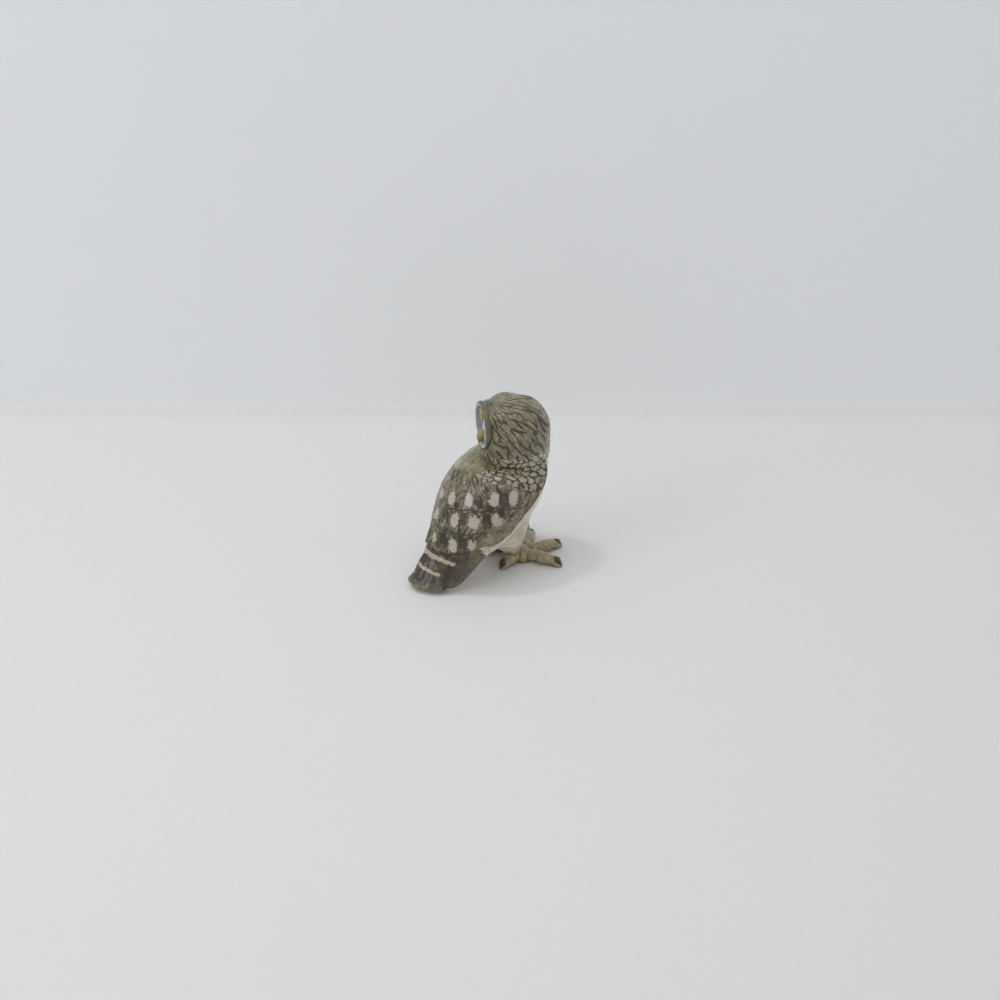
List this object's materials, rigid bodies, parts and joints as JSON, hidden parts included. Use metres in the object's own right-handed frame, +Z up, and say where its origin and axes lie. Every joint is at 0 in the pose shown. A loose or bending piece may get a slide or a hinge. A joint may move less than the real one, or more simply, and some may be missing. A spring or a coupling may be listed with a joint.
{
  "type": "owl figurine",
  "caption": "Small glazed ceramic owl looking back over its shoulder, standing on two feet and its tail.",
  "frame": {"origin": "middle of the figure's box, on the ground", "axes": "+Z up; the owl's body faces -Y and its left side is +X"},
  "size_m": [0.0226, 0.034, 0.0378],
  "materials": {
    "white_glaze": "clear gloss glaze over white clay",
    "head_glaze": "dark brush streaks on olive grey, clear gloss glaze",
    "face_glaze": "blue-grey with dark rings and a white rim, clear gloss glaze",
    "beak_glaze": "yellow-olive, clear gloss glaze",
    "eye_glaze": "yellow with a black pupil, clear gloss glaze",
    "plumage_glaze": "olive brown with white and dark brown feather marks, clear gloss glaze",
    "tail_glaze": "dark brown with white bars, clear gloss glaze",
    "toe_glaze": "beige with brown shading and near-black claws, clear gloss glaze"
  },
  "bodies": {
    "root": {"body": "white_glaze", "head": "head_glaze", "facial_disc": "face_glaze", "beak": "beak_glaze", "eye_right": "eye_glaze", "eye_left": "eye_glaze", "wing_right": "plumage_glaze", "wing_left": "plumage_glaze", "tail": "tail_glaze", "leg_right": "white_glaze", "leg_left": "white_glaze", "foot_right": "toe_glaze", "foot_left": "toe_glaze", "toe_right_outer": "toe_glaze", "toe_right_middle": "toe_glaze", "toe_right_inner": "toe_glaze", "toe_right_hind": "toe_glaze", "toe_left_outer": "toe_glaze", "toe_left_middle": "toe_glaze", "toe_left_inner": "toe_glaze", "toe_left_hind": "toe_glaze"}
  },
  "joints": []
}
